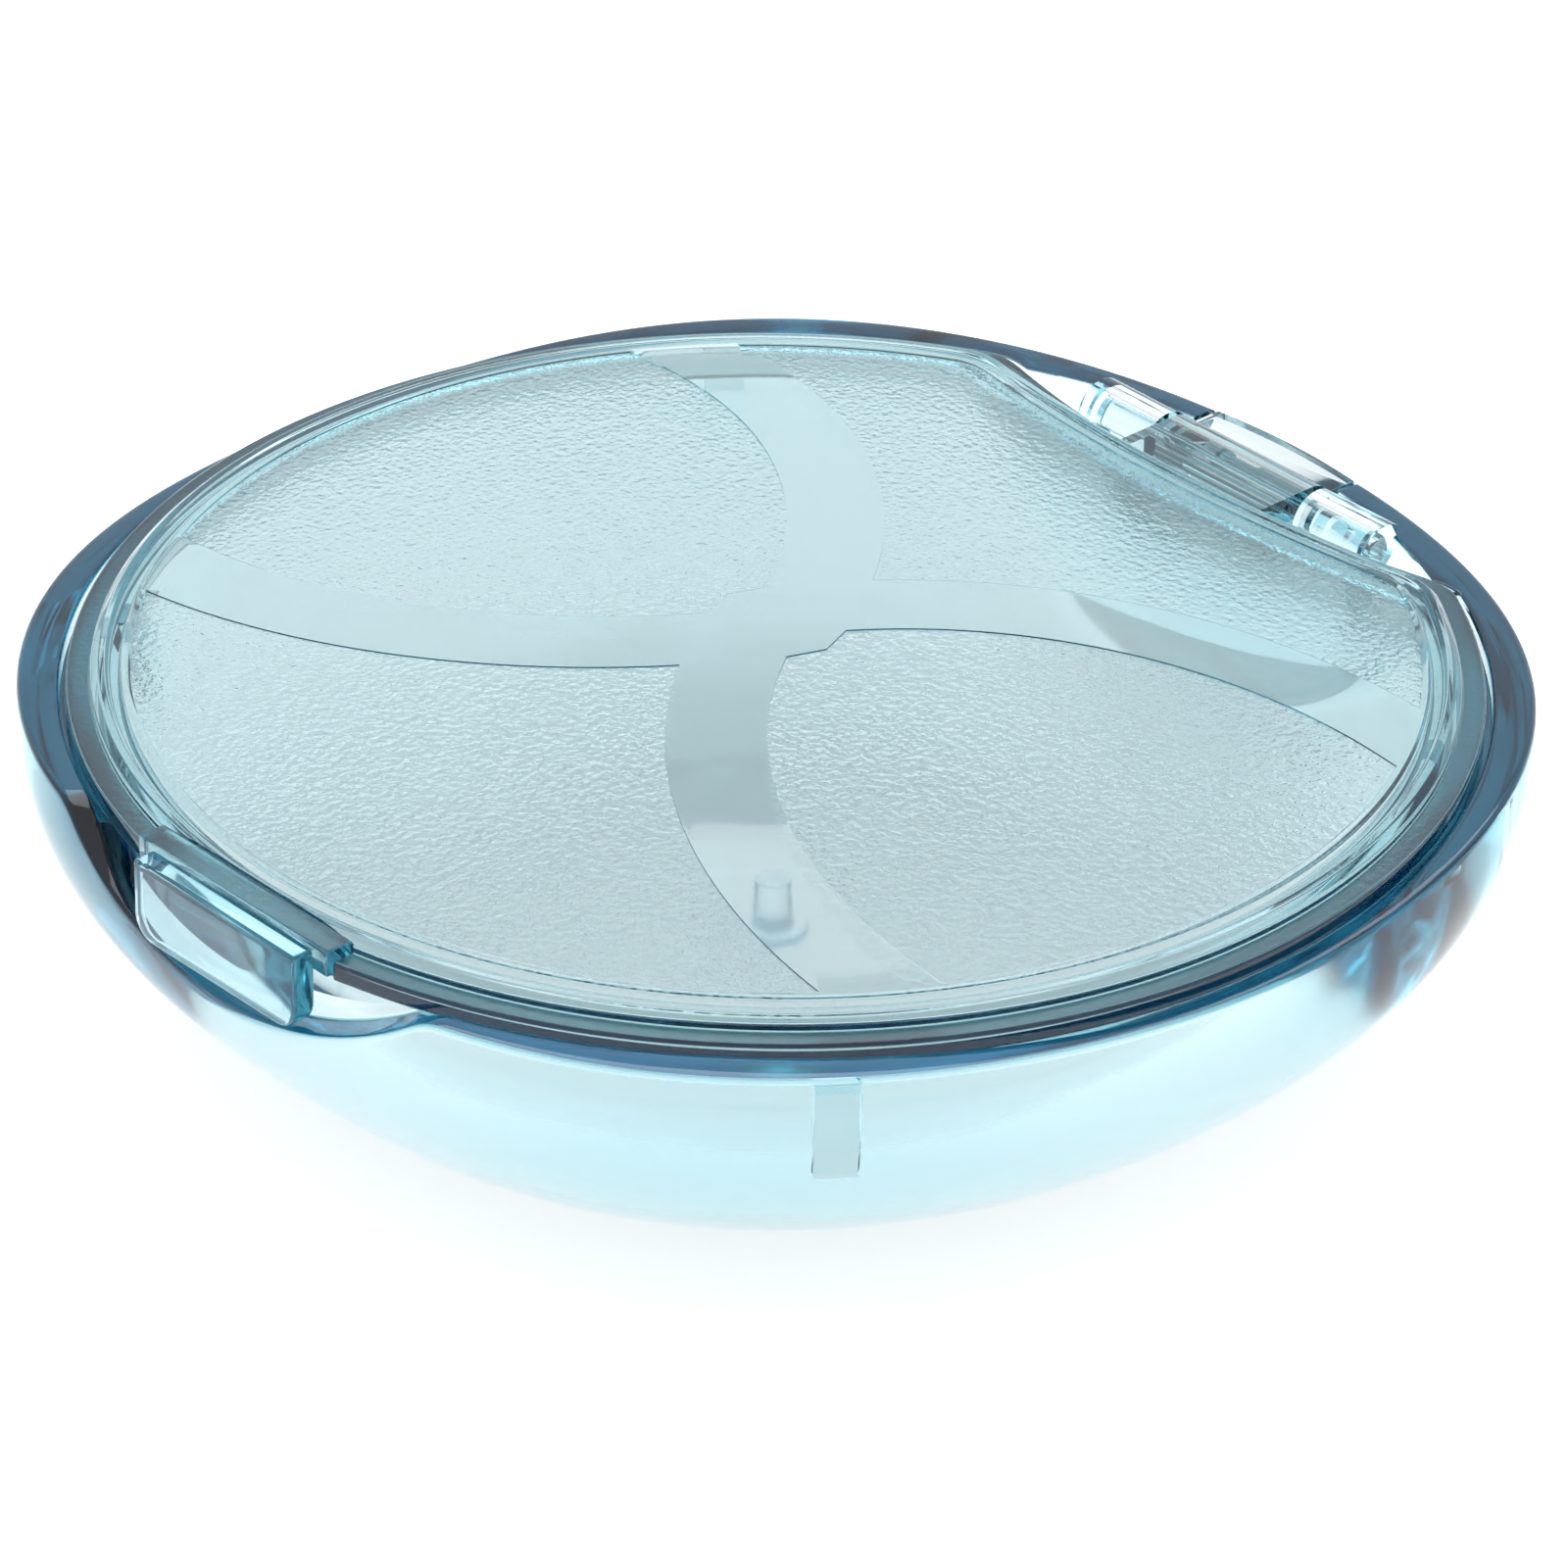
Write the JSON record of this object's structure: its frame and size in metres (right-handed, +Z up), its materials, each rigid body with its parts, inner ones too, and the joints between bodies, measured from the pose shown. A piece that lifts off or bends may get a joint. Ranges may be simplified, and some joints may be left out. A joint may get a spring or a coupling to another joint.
{
  "type": "pill box",
  "caption": "Round pocket pill box in clear tinted plastic: thick bowl, low-crowned grained lid on a rear hinge, thumb tab over a finger scoop.",
  "frame": {"origin": "centre of the flat foot, on the surface that the box stands on", "axes": "+Z up, +Y towards the hinge, -Y towards the thumb tab, +X to the right seen from the tab side"},
  "size_m": [0.0732, 0.0726, 0.0207],
  "materials": {
    "bowl_plastic": "clear aqua tint, polished",
    "lid_plastic": "clear aqua tint, fine moulded grain between smooth curved bands",
    "tab_plastic": "clear aqua tint, polished plate and satin bar",
    "pin_plastic": "clear aqua tint, polished"
  },
  "bodies": {
    "bowl_body": {"base_bowl": "bowl_plastic", "hinge_pin_left": "pin_plastic", "hinge_pin_right": "pin_plastic"},
    "lid_body": {"lid": "lid_plastic", "thumb_tab": "tab_plastic"}
  },
  "joints": [
    {"name": "lid_hinge", "type": "hinge", "parent": "bowl_body", "child": "lid_body", "pos_m": [0, 0.0327, 0.0169], "axis": [-1, 0, 0], "range_deg": [0, 120]}
  ]
}
